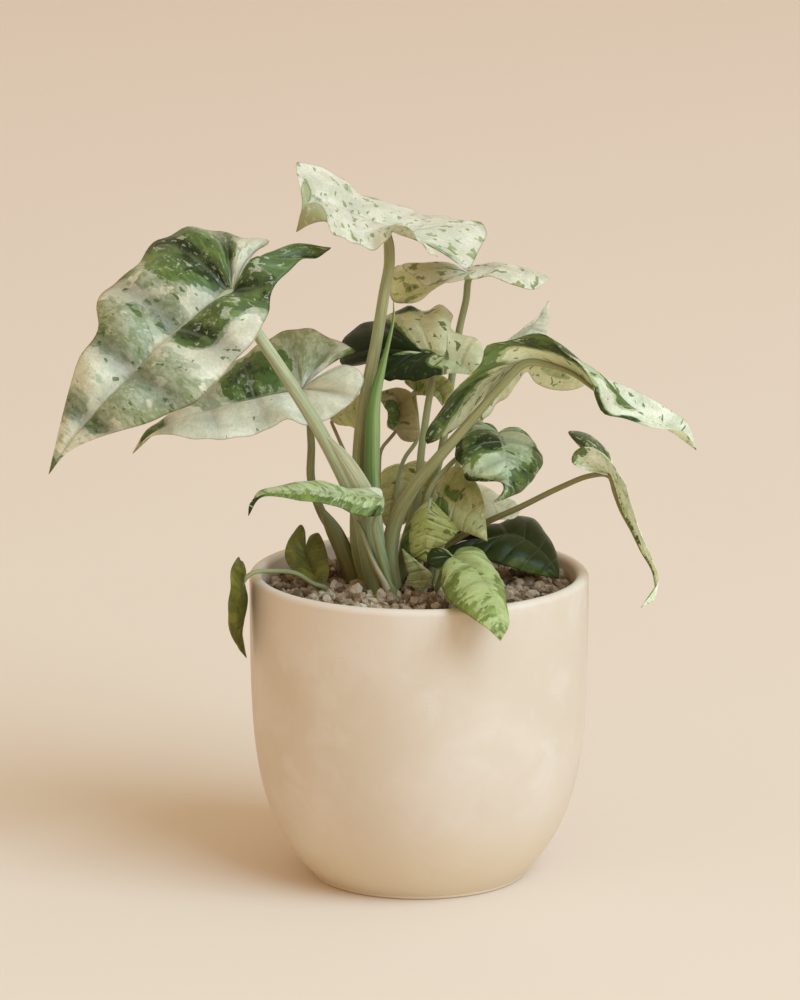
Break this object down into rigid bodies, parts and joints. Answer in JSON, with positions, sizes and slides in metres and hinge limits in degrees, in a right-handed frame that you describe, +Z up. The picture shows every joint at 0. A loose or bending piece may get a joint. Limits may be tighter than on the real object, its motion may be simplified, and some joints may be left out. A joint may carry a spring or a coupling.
{
  "type": "potted variegated giant taro",
  "caption": "Variegated giant taro with arrow-shaped splashed leaves on upright stalks, in a round plain cream ceramic pot topped with pumice gravel.",
  "frame": {"origin": "middle of the pot's flat foot, on the pot's axis", "axes": "+Z up along the pot's axis, -Y towards the side that the plant is seen from, +X to that viewer's right"},
  "size_m": [0.2994, 0.1783, 0.3403],
  "materials": {
    "pot_ceramic": "matte cream, unglazed, faintly mottled",
    "potting_soil": "dark, coarse and matte",
    "pumice_gravel": "dusty matte pumice, tan to off-white",
    "cream_leaf": "satin cream blade splashed with greens, pale stalk",
    "green_leaf": "satin green blade splashed with cream, green stalk",
    "old_leaf": "dull olive blade with darker flecks",
    "young_leaf": "satin light green, still rolled"
  },
  "bodies": {
    "root": {"pot": "pot_ceramic", "soil": "potting_soil", "gravel": "pumice_gravel", "leaf_back_centre": "old_leaf", "leaf_back_left": "old_leaf", "leaf_back_pink": "old_leaf", "leaf_back_round": "old_leaf", "leaf_big_left": "cream_leaf", "leaf_centre_dark": "green_leaf", "leaf_cream_fold": "old_leaf", "leaf_dark_right": "green_leaf", "leaf_green_front": "green_leaf", "leaf_left_low": "cream_leaf", "leaf_mid_right": "green_leaf", "leaf_narrow_left": "green_leaf", "leaf_new": "young_leaf", "leaf_old_sheath": "old_leaf", "leaf_outer_left": "old_leaf", "leaf_pale_back": "old_leaf", "leaf_right_back": "cream_leaf", "leaf_right_big": "green_leaf", "leaf_right_droop": "green_leaf", "leaf_small_left": "old_leaf", "leaf_spotted": "old_leaf", "leaf_top_right": "cream_leaf", "leaf_top_white": "cream_leaf"}
  },
  "joints": []
}
